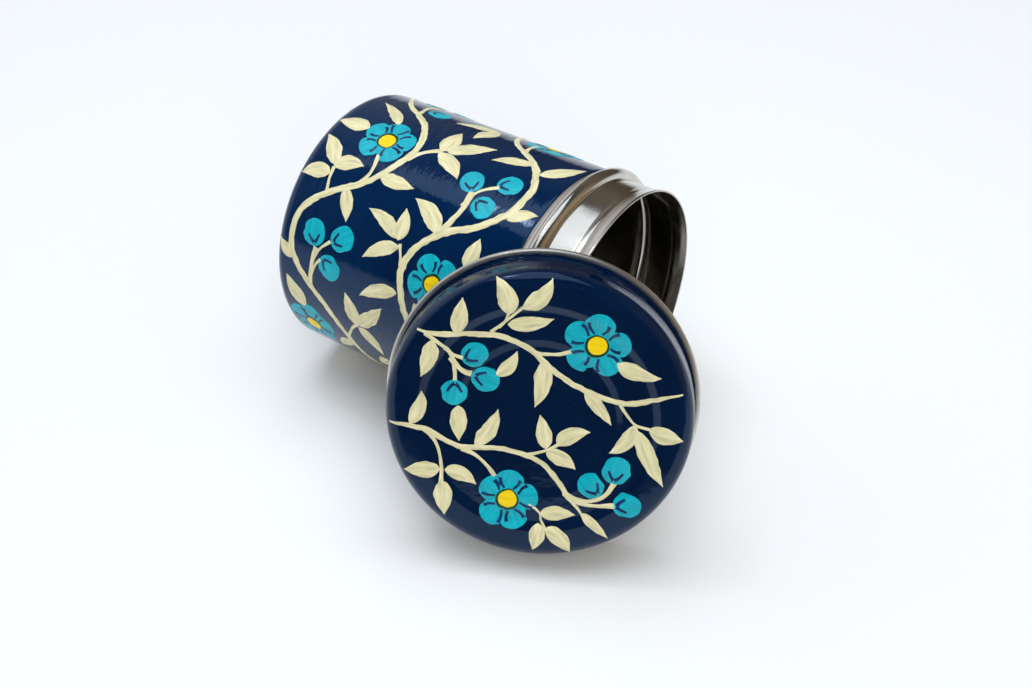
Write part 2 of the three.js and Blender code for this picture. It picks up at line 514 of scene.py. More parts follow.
FIELD = LID_DEPTH - RING_STEP
PANEL = FIELD - PANEL_STEP
RING_INSIDE = SKIRT_RADIUS - LID_SHOULDER - RING_WIDTH
lid_face = rounded(
    [
        (0, PANEL),
        (PANEL_RADIUS, PANEL),
        (PANEL_RADIUS + STEP_RUN, FIELD),
        (RING_INSIDE - STEP_RUN, FIELD),
        (RING_INSIDE, LID_DEPTH),
        (SKIRT_RADIUS - LID_SHOULDER, LID_DEPTH),
    ],
    {1: 2.4, 2: 2.4, 3: 1.6, 4: 1.6},
)
lid_shoulder = arc((SKIRT_RADIUS - LID_SHOULDER, LID_DEPTH - LID_SHOULDER), LID_SHOULDER, 90, 0, 20)
lid_skirt = [
    (SKIRT_RADIUS, 10.0),
    (SKIRT_RADIUS, 6.3),
    (SKIRT_RADIUS + RIDGE * 0.5, 6.0),
    (SKIRT_RADIUS + RIDGE, 5.7),
    (SKIRT_RADIUS + RIDGE * 0.5, 5.4),
    (SKIRT_RADIUS, 5.1),
    (SKIRT_RADIUS, 1.6),
]
LAP_ANGLES = [122, 116, 110, 105, 102]
lap = [(SKIRT_RADIUS + 0.03, 1.25)]
for tilt in LAP_ANGLES:
    lap += arc((HEM_RADIUS, 0), HEM_TUBE + (FILM if tilt > 103 else 0.01), tilt, tilt, 1)[:1]
lid_coat_outside = [*lid_face, *lid_shoulder[1:], *lid_skirt, *lap]
under = moved_in(lid_face + lid_shoulder[1:] + [(SKIRT_RADIUS, 10.0), (SKIRT_RADIUS, 1.4)], -COAT)
lid_coat_inside = [(HEM_RADIUS - 0.27, HEM_TUBE - 0.1), *reversed(under)]
LAP_START = len(lid_coat_outside) - len(lap)


def ragged_lap(order, angle, radius, level):
    """Slide the lap round the roll by a noise, most at its free edge."""
    step = order - LAP_START - 1
    if 0 < step <= len(LAP_ANGLES):
        ragged = 0.6 * wander(angle, 7.0, 2.0) + 0.6 * wander(angle, 31.0, 4.0)
        slide = math.radians(20) * ragged * step / len(LAP_ANGLES)
        across = radius - HEM_RADIUS
        radius = HEM_RADIUS + across * math.cos(slide) + level * math.sin(slide)
        level = level * math.cos(slide) - across * math.sin(slide)
    return radius, level


lid_coat = turned("lid_coat", [*lid_coat_outside, *lid_coat_inside], LID, ragged_lap)
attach(lid_coat, "lid")
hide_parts("lid_enamel")

steel_line = lid_face + lid_shoulder[1:] + [(SKIRT_RADIUS, 10.0), (SKIRT_RADIUS, 1.2)]
steel_face = moved_in(steel_line, -COAT - COAT_GAP)
steel_back = moved_in(steel_line, -COAT - COAT_GAP - SHEET)
hem = [
    *arc((HEM_RADIUS, 0), HEM_TUBE, 140, -90, 30),
    *arc((HEM_RADIUS, 0), HEM_TUBE, -100, -150, 6),
    (38.28, -0.1),
]
lid_steel = turned("lid_steel", [*steel_face[:-1], *hem, *reversed(steel_back[:-1])], LID)
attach(lid_steel, "lid")
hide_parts("lid_shell")

# %% [markdown]
# ## Painting on a curved surface
#
# The painter's strokes are thin but real: each leaf and flower stands about a tenth of a
# millimetre off the enamel, with soft edges that catch the light. A texture could not give that
# edge, so the paint is modelled. Every stroke is drawn flat first, as an outline round a spine.
# All outlines of one colour are then joined by a constrained triangulation, which keeps the
# triangles inside any stroke. The flat result is laid on the can or the lid by moving each point
# out along the surface, and gets a back and side walls, so that it is one closed film of paint.

# %% Draw one stroke
def smooth_path(points, step=0.5):
    """A curve through the given points, sampled about every half millimetre."""
    path = [Vector(p[:2]) for p in points]
    ends = [path[0] * 2 - path[1], *path, path[-1] * 2 - path[-2]]
    made = []
    for a, b, c, d in zip(ends, ends[1:], ends[2:], ends[3:]):
        count = max(2, round((c - b).length / step))
        squared, cubed = a * 2 - b * 5 + c * 4 - d, b * 3 - a - c * 3 + d
        for i in range(count):
            t = i / count
            made.append((b * 2 + (c - a) * t + squared * t**2 + cubed * t**3) / 2)
    return [*made, path[-1]]


def stroke(spine, half_width, unsteady=0.07):
    """The outline that a brush leaves along a spine, and the spine itself."""
    lengths = [0.0]
    for a, b in zip(spine, spine[1:]):
        lengths.append(lengths[-1] + (b - a).length)
    left, right = [], []
    for i, p in enumerate(spine):
        run = (spine[min(i + 1, len(spine) - 1)] - spine[max(i - 1, 0)]).normalized()
        side = Vector((-run.y, run.x))
        width = half_width(lengths[i] / lengths[-1])
        for row, sign in ((left, 1), (right, -1)):
            shake = 1 + unsteady * 2 * noise.noise(Vector((p.x * 0.55, p.y * 0.55, sign * 7.0)))
            row.append(p + side * (sign * width * shake))
    return [*right, *reversed(left)], spine


# %% The shapes that the painter uses
TIP = 0.09
LEAF_RISE = 0.72
LEAF_FALL = 1.08
LEAF_BELLY = 0.4


def vine(points, width):
    """A long tendril, fullest in its bends, that tapers at both ends."""
    def half(t):
        taper = min(1.0, 0.35 + 7 * t, 0.3 + 5 * (1 - t))
        return width / 2 * taper
    return stroke(smooth_path(points), half, 0.16)


def stem(points, width):
    return stroke(smooth_path(points, 0.4), lambda t: width / 2 * (0.75 + 0.35 * abs(2 * t - 1)), 0.1)


def leaf(base, tip, width, bend=0.0):
    """A pressed-and-lifted brush mark: a full belly near the stem and a drawn-out tip."""
    base, tip = Vector(base), Vector(tip)
    run = tip - base
    side = Vector((-run.y, run.x))
    count = max(12, round(run.length / 0.5))
    spine = []
    for i in range(count + 1):
        t = i / count
        spine.append(base + run * t + side * (bend * 4 * t * (1 - t)))
    top = LEAF_BELLY**LEAF_RISE * (1 - LEAF_BELLY) ** LEAF_FALL
    return stroke(spine, lambda t: max(TIP, width / 2 * t**LEAF_RISE * (1 - t) ** LEAF_FALL / top))


def egg(start, end, half, belly=0.5, foot=0.0):
    """A rounded dab from start to end. Belly is where it is widest, foot its width at the start."""
    start, end = Vector(start), Vector(end)
    count = 22
    spine = []
    for i in range(count + 1):
        t = (1 - math.cos(math.pi * i / count)) / 2
        spine.append(start + (end - start) * t)

    def width(t):
        if t > belly:
            return half * math.sqrt(max(0.0, 1 - ((t - belly) / (1 - belly)) ** 2)) + 0.03
        rise = math.sqrt(max(0.0, 1 - ((belly - t) / belly) ** 2))
        return half * (foot + (1 - foot) * rise) + 0.03
    return stroke(spine, width, 0.09)


def pointing(angle, length):
    return Vector((math.cos(math.radians(angle)), math.sin(math.radians(angle)))) * length


# %% A flower and a berry, each with its marks
PETAL = 3.5
HEART = 2.55
HEART_RING = 3.12
HEART_OFF_CENTRE = Vector((0.12, 0.2))
PEN_SPREAD = (14, 21)
PEN_LEAN = 6
PEN_START = 3.2
PEN_END = (5.9, 7.0)
PEN_BOW = 0.35
V_SPREAD = 36
hand = random.Random(11)


def flower(layers, centre, angles, reach):
    """Five petals, a dark ring, a yellow heart, and two short pen strokes on each petal."""
    centre = Vector(centre)
    for angle in angles:
        far = reach * hand.uniform(0.96, 1.04)
        layers["turquoise"].append(egg(centre, centre + pointing(angle, far), PETAL, 0.66, 0.45))
        for side in (-1, 1):
            at = angle + side * hand.uniform(*PEN_SPREAD)
            near = centre + pointing(at, PEN_START)
            out = centre + pointing(at + side * PEN_LEAN, hand.uniform(*PEN_END))
            bow = (near + out) / 2 + pointing(at + 90 * side, PEN_BOW)
            layers["dark"].append(stroke(smooth_path([near, bow, out], 0.3), lambda t: 0.38 + 0.22 * t))
    layers["ring"].append(egg(centre - Vector((HEART_RING, 0)), centre + Vector((HEART_RING, 0)), HEART_RING))
    heart = centre + HEART_OFF_CENTRE
    layers["yellow"].append(egg(heart - Vector((HEART, 0)), heart + Vector((HEART, 0)), HEART))


def berry(layers, centre, radius, stem_angle):
    """A round dab with a dark V that opens away from the stem."""
    centre = Vector(centre)
    lean = pointing(stem_angle, radius * 1.04)
    layers["turquoise"].append(egg(centre + lean, centre - lean, radius * 0.96))
    foot = centre + pointing(stem_angle, radius * 0.8)
    for side in (-1, 1):
        away = stem_angle + 180 + side * V_SPREAD
        ends = [foot, foot + pointing(away + side * 8, 1.4), foot + pointing(away, 3.2)]
        layers["dark"].append(stroke(smooth_path(ends, 0.3), lambda t: 0.6 - 0.22 * t))


# %% Lay strokes on a surface as one closed film
EDGE_RING = 0.2
EDGE_LIFT = 0.035
FILM_BACK = -0.05


def inside(points, outline):
    """Which points are inside a closed outline, as a list of booleans."""
    x, y = points[:, 0], points[:, 1]
    found = np.zeros(len(points), bool)
    for (x0, y0), (x1, y1) in zip(outline, [*outline[1:], outline[0]]):
        if y0 != y1:
            crosses = (y0 > y) != (y1 > y)
            found ^= crosses & (x < (x1 - x0) * (y - y0) / (y1 - y0) + x0)
    return found


def inner_ring(outline, distance):
    """The outline moved inward by a distance."""
    made = []
    area = sum(a.x * b.y - b.x * a.y for a, b in zip(outline, [*outline[1:], outline[0]]))
    turn_in = distance if area > 0 else -distance
    for before, here, after in zip([outline[-1], *outline[:-1]], outline, [*outline[1:], outline[0]]):
        run = after - before
        if run.length > 1e-6:
            made.append(here + Vector((-run.y, run.x)).normalized() * turn_in)
    return made


def brush_places(points, spine):
    """How far along a spine and how far across it each point is, in mm."""
    a = np.array([p[:] for p in spine[:-1]])
    run = np.array([p[:] for p in spine[1:]]) - a
    length = np.linalg.norm(run, axis=1) + 1e-9
    start = np.concatenate([[0], np.cumsum(length)[:-1]])
    offset = points[:, None] - a[None]
    share = np.clip((offset * run).sum(2) / length**2, 0, 1)
    foot = offset - share[..., None] * run
    nearest = np.linalg.norm(foot, axis=2).argmin(1)
    rows = np.arange(len(points))
    gap = foot[rows, nearest]
    across = (run[nearest, 0] * gap[:, 1] - run[nearest, 1] * gap[:, 0]) / length[nearest]
    return start[nearest] + share[rows, nearest] * length[nearest], across


def film(name, strokes, onto, place, lift, spacing=0.7):
    """One closed film of paint from many strokes. onto(x, y, lift) gives a point in the body's mm."""
    corners, outlines, loose = [], [], []
    for outline, spine in strokes:
        outlines.append(list(range(len(corners), len(corners) + len(outline))))
        corners += outline
        ring = inner_ring(outline, EDGE_RING)
        loose += [p for p, keep in zip(ring, inside(np.array([q[:] for q in ring]), outline)) if keep]
        low = np.array([p[:] for p in outline]).min(0)
        high = np.array([p[:] for p in outline]).max(0)
        grid = np.mgrid[low[0] : high[0] : spacing, low[1] : high[1] : spacing].reshape(2, -1).T
        ring_inner = inner_ring(outline, EDGE_RING * 1.6)
        loose += [Vector(p) for p in grid[inside(grid, ring_inner) & inside(grid, outline)]]
    flat, _, triangles, _, _, source = delaunay_2d_cdt([*corners, *loose], [], outlines, 0, 1e-4, True)
    kept = [(t, s) for t, s in zip(triangles, source) if s]
    rims = {}
    for t, _ in kept:
        for a, b in zip(t, [*t[1:], t[0]]):
            rims[(a, b)] = (b, a) not in rims
            if not rims[(a, b)]:
                rims[(b, a)] = False
    rim_edges = [e for e, open_edge in rims.items() if open_edge]
    on_rim = {v for e in rim_edges for v in e}
    used = sorted({v for t, _ in kept for v in t})
    number = {v: i for i, v in enumerate(used)}
    count = len(used)
    points = [onto(flat[v].x, flat[v].y, EDGE_LIFT if v in on_rim else lift) for v in used]
    points += [onto(flat[v].x, flat[v].y, FILM_BACK) for v in used]
    faces = [[number[v] for v in t] for t, _ in kept]
    faces += [[number[v] + count for v in reversed(t)] for t, _ in kept]
    faces += [(number[b], number[a], number[a] + count, number[b] + count) for a, b in rim_edges]
    piece = finished(name, points, faces, place)

    # Each corner keeps its place under the brush, so that the streaks run along the stroke.
    owner = {}
    for t, s in kept:
        for v in t:
            owner.setdefault(number[v], s[0])
    brush = np.zeros((count, 3), np.float32)
    plane = np.array([flat[v][:] for v in used])
    for shape in set(owner.values()):
        mine = [i for i, s in owner.items() if s == shape]
        along, across = brush_places(plane[mine], strokes[shape][1])
        brush[mine] = np.stack([along, across, np.full(len(mine), shape * 1.7)], 1)
    marks = piece.data.attributes.new("brush", "FLOAT_VECTOR", "POINT")
    marks.data.foreach_set("vector", np.concatenate([brush, brush]).ravel())
    return piece


# %% The painted surfaces
def follow(profile):
    """A lookup from distance along a profile's first number to its second and its slope."""
    first = np.array([p[0] for p in profile])
    second = np.array([p[1] for p in profile])

    def at(value):
        level = float(np.interp(value, first, second))
        slope = float(np.interp(value + 0.05, first, second) - np.interp(value - 0.05, first, second)) / 0.1
        return level, slope
    return at


face_level = follow([*lid_face, *lid_shoulder[1:]])
wall_radius = follow([(h, r) for r, h in coat_outside[2:-1]])


def on_lid(x, y, lift):
    """x to the right and y up, as one looks at the lid's face."""
    r = max(math.hypot(x, y), 1e-6)
    level, slope = face_level(r)
    tilt = math.hypot(1, slope)
    out = 1 - slope * lift / tilt / r
    return x * out, y * out, level + lift / tilt


PER_DEGREE = math.radians(WALL_RADIUS)


def on_can(along, round_can, lift):
    """Along from the base, and round from the top line, both in mm on the wall."""
    angle = round_can / WALL_RADIUS
    radius, slope = wall_radius(along)
    tilt = math.hypot(1, slope)
    r = radius + lift / tilt
    return -r * math.sin(angle), r * math.cos(angle), along - slope * lift / tilt


# %% [markdown]
# ### The spray on the lid
#
# Two vines sweep across the lid, with leaves that spring from them in twos and threes, a flower
# under each, and two clusters of three berries. The places are in millimetres from the lid's
# middle, x to the right and y up.

# %% Paint the lid's strokes
LOWERED = Vector((0.15, -0.4))


def flat(points):
    return [Vector(p) + LOWERED for p in points]


def new_layers():
    return {colour: [] for colour in ("cream", "turquoise", "dark", "ring", "yellow")}


lid_layers = new_layers()
LID_VINES = [
    (1.45, [(-31, 22.1), (-26, 21.7), (-20, 21.9), (-12, 22.1), (-8, 21.3), (-3, 18.9), (0.3, 16),
            (3.5, 13.4),
            (8, 10.6), (12.5, 8.6), (17, 7.2), (21.6, 6.8), (26, 7.7), (30.3, 9.5), (35, 10.8)]),
    (1.35, [(-37.5, -3.1), (-32, -3.5), (-28, -4.6), (-23.8, -6.9), (-19.3, -8.7), (-14.7, -8.8), (-10, -8.5),
            (-5.6, -9.1), (-1, -10.4), (2.5, -12.5), (6.2, -16.8), (8.9, -20.5), (11.2, -23.1), (13.2, -26)]),
]
LID_STEMS = [
    (1.1, [(-3.4, 19), (-1, 18), (1.6, 18), (4.4, 18.3), (7.2, 19.3)]),
    (1.1, [(-19, -9.2), (-15.5, -10.9), (-12.6, -13.4), (-10.2, -16.4)]),
    (1.0, [(-29, 21.6), (-26, 19.7), (-23.8, 17.9), (-22.2, 15.2), (-21.4, 12), (-21.2, 9.3)]),
    (1.0, [(-24, 18), (-22, 16.2), (-19.4, 15.4)]),
    (1.5, [(-22.6, 15.4), (-20.6, 13), (-18.8, 11.8), (-17.2, 11.3)]),
    (1.3, [(7.5, -19.2), (10.5, -20.6), (13.5, -21), (16.6, -20), (18.6, -18.2), (20.1, -15.3)]),
    (1.2, [(10.2, -21.2), (13.5, -22), (17, -22), (20.8, -21.2)]),
    (0.8, [(-12.9, 22.8), (-10.6, 24.8), (-8.6, 26.6), (-6.8, 28.4), (-5.2, 30.2)]),
    (0.8, [(-11, 24.2), (-9.4, 26), (-8.6, 28.4)]),
    (0.8, [(20, 6.3), (21.8, 3.8), (23.9, 1.4), (26, 0.7), (28.4, 0.3)]),
    (1.0, [(-28.6, -4.6), (-26, -7.4), (-24.6, -10.8), (-23.9, -15.3), (-23.8, -19)]),
    (0.9, [(-2.9, -9.8), (0.4, -8.8), (3, -7.7), (5.8, -5.8)]),
    (0.7, [(-1.2, -23.2), (0.6, -24.4), (1.9, -25.8), (2.2, -27.6), (3.8, -30)]),
]
LID_LEAVES = [
    (-8.6, 27.8, -12.2, 36.9, 5.0, -0.12), (-5.4, 29.8, 1.5, 37.9, 4.4, -0.12),
    (-8.8, 25.2, 2.4, 27.5, 3.9, -0.05),
    (-21.4, 22, -20, 31.4, 4.3, -0.03), (-27.2, 19.9, -29.7, 10, 4.3, 0.06),
    (-11.2, 11.4, -6.2, 18.2, 3.5, -0.12),
    (0.3, 16.2, -1.1, 3.6, 4.5, 0.07), (11, 8.9, 18.2, 0.4, 3.4, 0.02), (18.3, 17.4, 29.4, 14.7, 4.2, -0.09),
    (27.6, 0.4, 36.2, -1.6, 4.6, -0.02), (24, 1.2, 18.2, -7.2, 4.0, 0.12),
    (24.6, -0.2, 32.3, -14.5, 4.5, -0.02),
    (-32.2, -2.8, -29.5, 6, 3.8, -0.1), (-20.3, 2.4, -19.7, -7.2, 4.3, 0.0),
    (-15.7, -8.2, -10.2, 2.2, 4.2, -0.08),
    (-24.3, -15.5, -33.4, -16.1, 4.6, -0.03), (-23.1, -15.5, -14.9, -18.9, 4.2, 0.1),
    (-23.8, -18.4, -22.7, -27.9, 4.7, 0.02), (2.3, -7.6, 0.3, 1.6, 4.1, -0.02),
    (5.2, -6.4, 13.1, -2, 4.4, 0.13),
    (2.4, -8.7, 10.1, -12.6, 4.2, 0.08), (1.8, -25.8, 10.8, -25.2, 4.1, 0.04),
    (1.5, -28.4, 0.5, -35.8, 4.2, 0.05),
    (3.5, -29.4, 10.1, -36, 4.4, 0.1),
]
LID_FLOWERS = [
    ((13.2, 21.3), (150, 86, 11, -57, -138), 8.7),
    ((-6.8, -22.5), (144, 84, 13, -66, -134), 8.2),
]
LID_BERRIES = [
    ((-16.6, 16.6), 3.35, 215), ((-13.7, 10), 3.45, 165), ((-21.3, 6), 3.3, 88),
    ((14.3, -16.6), 3.35, -48), ((20.4, -11.7), 3.7, -98), ((23.8, -20.8), 3.45, 190),
]
for width, points in LID_VINES:
    lid_layers["cream"].append(vine(flat(points), width))
lid_layers["cream"].append(leaf(*flat([(12.2, -24.6), (19.6, -30.6)]), 2.6, 0.03))
for width, points in LID_STEMS:
    lid_layers["cream"].append(stem(flat(points), width))
for x0, y0, x1, y1, width, bend in LID_LEAVES:
    lid_layers["cream"].append(leaf(*flat([(x0, y0), (x1, y1)]), width, bend))
for centre, angles, reach in LID_FLOWERS:
    flower(lid_layers, flat([centre])[0], angles, reach)
for centre, radius, stem_angle in LID_BERRIES:
    berry(lid_layers, flat([centre])[0], radius, stem_angle)
print("strokes on the lid:", {colour: len(strokes) for colour, strokes in lid_layers.items()})

# %% [markdown]
# ### The vines round the can
#
# Two vines wind round the can in slow waves, and the same sprays come back about every third of
# a turn, so the back of the can repeats the front. Places are (mm from the base, degrees from
# the top line), which is how one would mark out a can before painting it.

# %% Paint the can's strokes
TOWARDS_MOUTH = 0.12


def around(points):
    """Places on the wall in mm, all moved a little towards the mouth."""
    return [Vector((along + TOWARDS_MOUTH, degrees * PER_DEGREE)) for along, degrees in points]


can_layers = new_layers()
VINE_LOW = [(4.5, -44), (6.2, -36), (8.6, -28), (12.5, -19), (15.8, -14.7), (20, -10.4), (23.8, -6),
            (26.9, 0),
            (29, 6.5), (29.4, 14), (28, 20), (26.3, 25.4), (23.8, 31), (20, 36), (16.9, 39), (12.9, 43),
            (9.3, 48),
            (6.8, 53), (5.7, 58), (5.7, 66), (6.9, 72.5)]
VINE_LOW_ON = [(9.4, 78), (13.8, 85), (18, 91), (21, 97), (23.3, 103), (25.2, 109), (27, 118), (28.7, 126)]
VINE_HIGH = [(43.6, -45), (44.6, -36), (47.2, -24.6), (50, -18), (54.4, -13), (58.8, -8.5), (62.5, -3),
            (65, 3),
             (66.6, 8.4), (66.6, 16), (65.6, 22.6), (63, 28), (58.8, 34), (53.8, 38), (50, 42), (46.3, 48),
             (43.9, 54.6), (43.2, 62), (44.6, 70)]
VINE_HIGH_ON = [(46.4, 77), (48.6, 82), (51.5, 89), (54.5, 97), (57.2, 104)]


def turned_on(points, degrees):
    return [(along, angle + degrees) for along, angle in points]


THIRD = 120
low_back = turned_on(VINE_LOW[9:], THIRD) + turned_on(VINE_LOW, 2 * THIRD)
high_back = turned_on(VINE_HIGH[5:], THIRD) + turned_on(VINE_HIGH, 2 * THIRD)
can_layers["cream"] += [
    vine(around(VINE_LOW + VINE_LOW_ON + low_back + [(4.5, 317)]), 1.9),
    vine(around(VINE_HIGH + VINE_HIGH_ON + high_back + [(43.6, 316)]), 2.0),
]
SPRAY = {
    "stems": [
        (1.2, [(20.3, 36), (22, 30), (21.9, 25), (20.9, 19.5)]), (1.0, [(12.6, 43.5), (11.4, 38),
        (10.8, 32)]),
        (1.5, [(29.3, 17), (31.2, 12.4), (33.6, 8.8), (36.4, 6.2)]), (1.9, [(50.6, 40.5), (51.9, 34),
        (52.9, 28), (52.6, 20)]),
        (1.1, [(52.2, 27.5), (53.6, 20), (56, 16), (58.4, 13.6)]), (0.9, [(42.6, 59.5), (41.6, 55),
        (40.4, 51)]),
        (1.3, [(18.8, -12), (18, -17), (17, -24), (18.4, -31)]), (1.2, [(54.6, -13.5), (53.6, -19),
        (53.4, -26)]),
        (1.5, [(13.5, 84.5), (13.7, 77), (14.2, 70), (14.6, 66.2)]), (0.9, [(13.9, 73), (15.8, 66.5),
        (18.9, 61.5)]),
        (0.9, [(13.9, 79), (15.2, 73.5), (16.8, 70.6)]), (0.9, [(48.8, 82), (49, 76), (49.6, 71.5)]),
        (1.0, [(24.6, 107), (26.2, 102), (28, 97.5), (30, 94.6)]),
    ],
    "leaves": [
        (18.4, 1, 7.2, -11.4, 3.6, 0.06), (12.2, 8.8, 2.2, 10.4, 5.2, 0.03), (10.2, 31, 2.8, 19.2, 4.7, 0.08),
        (10.4, 31.5, 19.2, 27.2, 4.7, -0.1), (10.6, 35.4, 1.9, 39.2, 4.7, 0.1),
        (25.4, 28.2, 36.8, 28.2, 4.1, 0.02),
        (17.4, 38.8, 21.9, 51.4, 4.0, -0.06), (36.2, 6.6, 35.3, -9.4, 5.3, 0.0),
        (37.6, 5.8, 48.3, -6.7, 4.9, -0.03),
        (35.8, 8.2, 46.2, 17.2, 4.6, -0.08), (41.8, -24.5, 29.7, -17, 3.7, 0.08),
        (42, -23, 39.1, -9, 4.4, 0.05),
        (64.7, -0.6, 72.8, -16.5, 4.7, 0.04), (60.4, -5, 50, 1, 3.9, 0.08), (66, 26, 73, 19.6, 3.6, -0.1),
        (50, 41.6, 38.8, 31.6, 4.9, 0.09), (39.2, 49.4, 27.2, 42.5, 4.0, 0.07),
        (39.3, 50, 37.9, 36.8, 4.3, 0.05),
        (40.4, 52.4, 30.2, 62, 4.0, 0.07), (61.2, 50, 61.9, 37, 4.6, 0.03),
        (43.2, 70.6, 31.1, 78.6, 4.2, 0.07),
        (7.2, 74.5, 1.6, 68.4, 3.7, -0.06), (10.2, 98.5, 4.8, 84, 5.4, 0.0),
        (29.6, 95.4, 26, 80.4, 4.9, 0.03),
        (29.8, 94.6, 38.8, 80.2, 4.6, 0.04), (30, 96, 36.8, 109, 4.4, -0.1),
        (25.2, 110, 18.8, 120, 4.0, 0.06),
        (37.6, 112, 33, 121, 4.4, 0.0),
    ],
    "flowers": [
        ((20, 11.7), (-90, -19, 46, 132, 204), 8.3), ((53.4, 61), (-120, -52, 18, 88, 160), 8.0),
        ((56.6, -33), (-80, -10, 60, 130, 205), 8.2), ((10.9, 109.5), (-83, -18, 52, 125, 217), 8.4),
    ],
    "berries": [
        ((22.5, -20), 3.3, 200), ((14, -36), 3.3, 60), ((23, -38), 3.4, 120), ((50.4, 15.6), 3.45, 60),
        ((60.4, 10.7), 3.4, 150), ((57.8, 24.8), 3.35, 205), ((13, 60.4), 3.7, 75), ((22.5, 58.7), 3.75, 145),
        ((20, 72.6), 3.65, 215),
    ],
}
KEPT_FROM = 13
KEPT_TO = 80


def shown(angle, turn_round):
    """The back repeats the front, but leaves out what would land on it again."""
    if turn_round == THIRD:
        return KEPT_FROM < angle < KEPT_TO
    return turn_round == 0 or angle < KEPT_TO


for turn_round in (0, THIRD, 2 * THIRD):
    for width, points in SPRAY["stems"]:
        if shown(points[0][1], turn_round):
            can_layers["cream"].append(stem(around(turned_on(points, turn_round)), width))
    for x0, a0, x1, a1, width, bend in SPRAY["leaves"]:
        if shown(a0, turn_round):
            ends = around(turned_on([(x0, a0), (x1, a1)], turn_round))
            can_layers["cream"].append(leaf(*ends, width, bend))
    for centre, angles, reach in SPRAY["flowers"]:
        if shown(centre[1], turn_round):
            flower(can_layers, around(turned_on([centre], turn_round))[0], angles, reach)
    for centre, radius, stem_angle in SPRAY["berries"]:
        if shown(centre[1], turn_round):
            berry(can_layers, around(turned_on([centre], turn_round))[0], radius, stem_angle)
print("strokes on the can:", {colour: len(strokes) for colour, strokes in can_layers.items()})

# %% Lay every colour on its body
LIFTS = {"turquoise": 0.09, "cream": 0.12, "ring": 0.13, "dark": 0.15, "yellow": 0.17}
NAMES = {
    "turquoise": ("petals_and_berries", "turquoise_paint"),
    "cream": ("vines_and_leaves", "cream_paint"),
    "ring": ("heart_rings", "dark_paint"),
    "dark": ("pen_strokes", "dark_paint"),
    "yellow": ("flower_hearts", "yellow_paint"),
}
films = {}
for body, layers, onto, place in (("can", can_layers, on_can, CAN), ("lid", lid_layers, on_lid, LID)):
    for colour, strokes in layers.items():
        part, slot = NAMES[colour]
        made = film(f"{body}_{part}", strokes, onto, place, LIFTS[colour])
        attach(made, body)
        films.setdefault(colour, []).append(made)

# %% [markdown]
# ## Finishes
#
# The last step gives each piece its finish, built from nodes alone. Turned and painted pieces
# kept their own millimetres, so every pattern on them is set by a real size.

# %% Start a finish
def finish_named(name, **sockets):
    """A Principled material with constant sockets set, and the place where colour goes."""
    made = bpy.data.materials.new(name)
    made.use_nodes = True
    tree = made.node_tree
    tree.nodes.clear()
    shader = add(tree, "BsdfPrincipled", {k.replace("_", " "): v for k, v in sockets.items()})
    add(tree, "OutputMaterial", {"Surface": shader.outputs[0]})
    return made, tree, shader


def give(finish, *pieces):
    for piece in pieces:
        piece.data.materials.append(finish)


def blended(tree, share, first, second):
    return add(tree, "Mix", {0: share, 6: first, 7: second}, data_type="RGBA").outputs[2]


# %% [markdown]
# ### Polished steel
#
# Drawn stainless steel, polished on a lathe on the can, and worn satin on the lid's hem, where
# it is handled. It is nearly a mirror on the can, with hair-fine marks that run round the piece
# and a soft haze of handling. The marks are a noise stretched along the turning direction: about
# 0.25 mm apart across it, which is coarser than real polishing marks, because finer ones
# wouldn't show. One function makes both, because only the roughness differs.

# %% Steel
def drawn_steel(name, smoothest, roughest):
    made, tree, shader = finish_named(name, Metallic=1.0)
    own = add(tree, "Attribute", attribute_name="own").outputs["Vector"]
    parts = add(tree, "SeparateXYZ", {0: own})
    level_place = add(tree, "CombineXYZ", {"X": parts.outputs["X"], "Y": parts.outputs["Y"]}).outputs[0]
    radius = add(tree, "VectorMath", {0: level_place}, operation="LENGTH").outputs["Value"]
    along = add(tree, "Math", {0: radius, 1: 0.8, 2: parts.outputs["Z"]}, operation="MULTIPLY_ADD").outputs[0]
    fine = add(tree, "Math", {0: along, 1: 4.0}, operation="MULTIPLY").outputs[0]
    slow_x = add(tree, "Math", {0: parts.outputs["X"], 1: 0.06}, operation="MULTIPLY").outputs[0]
    slow_y = add(tree, "Math", {0: parts.outputs["Y"], 1: 0.06}, operation="MULTIPLY").outputs[0]
    lines_at = add(tree, "CombineXYZ", {"X": slow_x, "Y": slow_y, "Z": fine}).outputs[0]
    lines = add(
        tree, "TexNoise", {"Vector": lines_at, "Scale": 1.0, "Detail": 3.0, "Roughness": 0.6}
    ).outputs[0]
    haze = add(tree, "TexNoise", {"Vector": own, "Scale": 0.14, "Detail": 4.0, "Roughness": 0.55}).outputs[0]
    rough = add(tree, "MapRange", {
        "Value": haze, "From Min": 0.3, "From Max": 0.75, "To Min": smoothest, "To Max": roughest,
    })
    tree.links.new(rough.outputs[0], shader.inputs["Roughness"])
    tree.links.new(blended(tree, haze, linear("#D6D2CC"), linear("#C4BEB6")), shader.inputs["Base Color"])
    bump = add(tree, "Bump", {"Height": lines, "Strength": 0.35, "Distance": 0.00002})
    tree.links.new(bump.outputs[0], shader.inputs["Normal"])
    return made


give(drawn_steel("polished_steel", 0.1, 0.24), can_steel)
give(drawn_steel("worn_steel", 0.32, 0.46), lid_steel)
